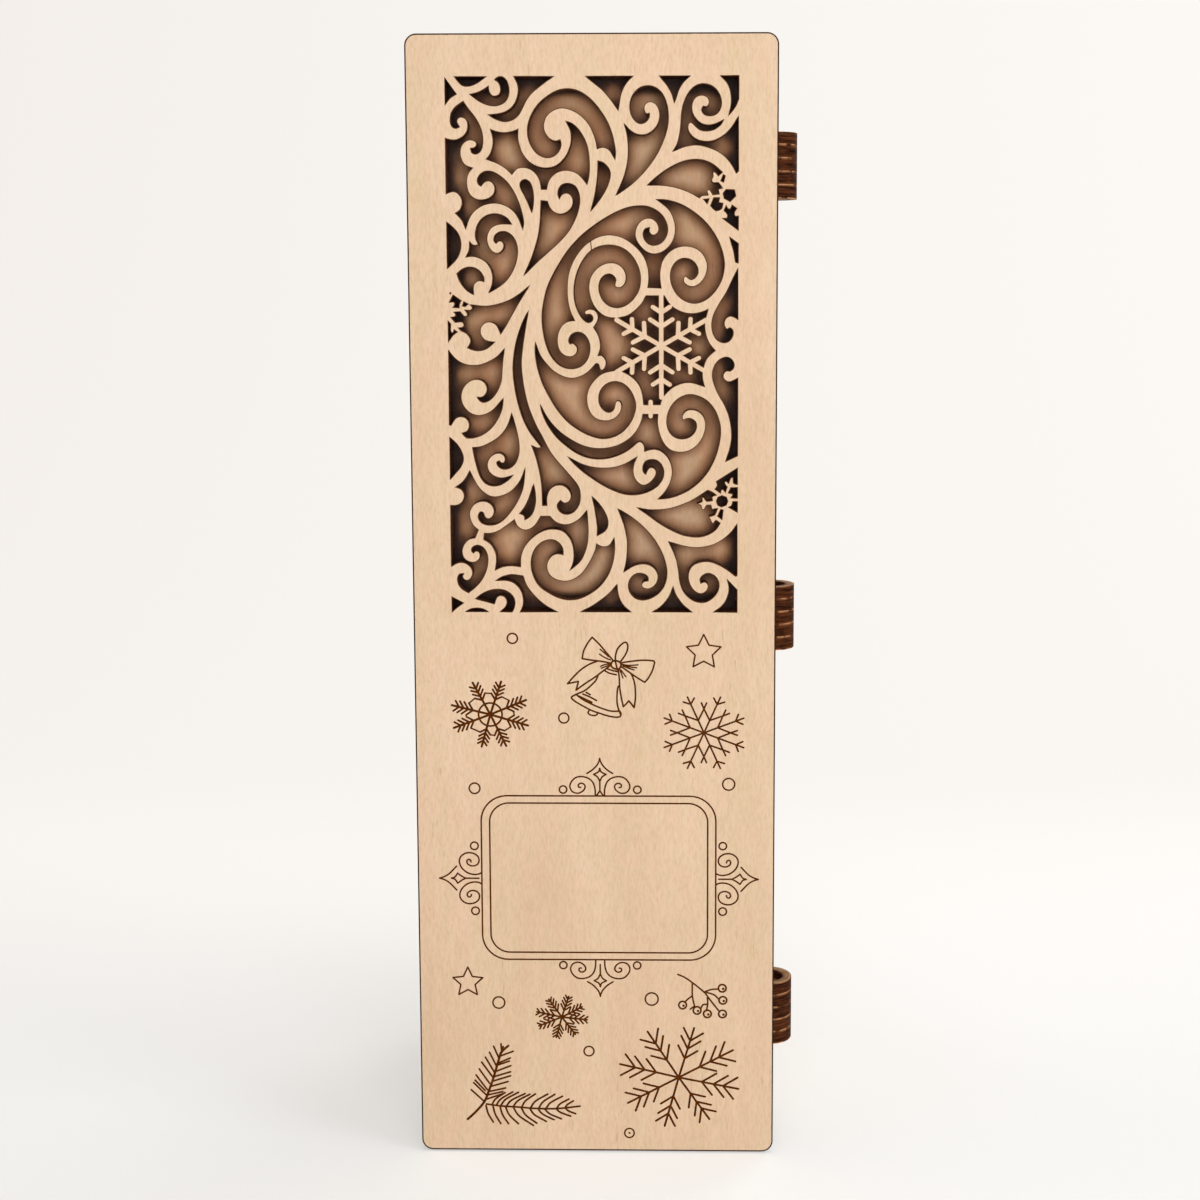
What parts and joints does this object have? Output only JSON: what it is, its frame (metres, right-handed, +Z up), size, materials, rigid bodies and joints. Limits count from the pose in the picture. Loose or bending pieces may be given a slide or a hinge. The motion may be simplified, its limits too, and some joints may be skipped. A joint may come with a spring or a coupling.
{
  "type": "bottle box",
  "caption": "Tall wooden box for a bottle. Its side-hinged door has a window of scroll fretwork and snowflakes above a plain engraved panel, and turns on ply ring hinges.",
  "frame": {"origin": "middle of the base's underside, on the surface that the box stands on", "axes": "+Z up, -Y out of the door's face, +X towards the hinges"},
  "size_m": [0.1162, 0.1018, 0.344],
  "materials": {
    "face_ply": "bare sanded birch ply with burnt cut edges",
    "door_ply": "bare sanded ply",
    "box_ply": "bare sanded ply",
    "burnt_ply": "ply rings with burnt edges",
    "dowel": "dark stained dowel",
    "magnet": "plated"
  },
  "bodies": {
    "box": {"left_wall": "box_ply", "right_wall": "box_ply", "top_wall": "box_ply", "bottom_wall": "box_ply", "back_panel": "box_ply", "upper_magnet_block": "box_ply", "lower_magnet_block": "box_ply", "upper_box_magnet": "magnet", "lower_box_magnet": "magnet", "upper_hinge_ring_1": "burnt_ply", "upper_hinge_ring_3": "burnt_ply", "upper_hinge_ring_5": "burnt_ply", "upper_hinge_pin": "dowel", "middle_hinge_ring_1": "burnt_ply", "middle_hinge_ring_3": "burnt_ply", "middle_hinge_ring_5": "burnt_ply", "middle_hinge_pin": "dowel", "lower_hinge_ring_1": "burnt_ply", "lower_hinge_ring_3": "burnt_ply", "lower_hinge_ring_5": "burnt_ply", "lower_hinge_pin": "dowel"},
    "door": {"front_panel": "face_ply", "door_left_stile": "door_ply", "door_right_stile": "door_ply", "door_top_rail": "door_ply", "door_middle_rail": "door_ply", "door_foot_rail": "door_ply", "door_backing": "door_ply", "upper_door_magnet": "magnet", "lower_door_magnet": "magnet", "upper_hinge_ring_2": "burnt_ply", "upper_hinge_ring_4": "burnt_ply", "middle_hinge_ring_2": "burnt_ply", "middle_hinge_ring_4": "burnt_ply", "lower_hinge_ring_2": "burnt_ply", "lower_hinge_ring_4": "burnt_ply"}
  },
  "joints": [
    {"name": "door_hinge", "type": "hinge", "parent": "box", "child": "door", "pos_m": [0.0542, -0.0394, 0.168], "axis": [0, 0, 1], "range_deg": [0, 180]}
  ]
}
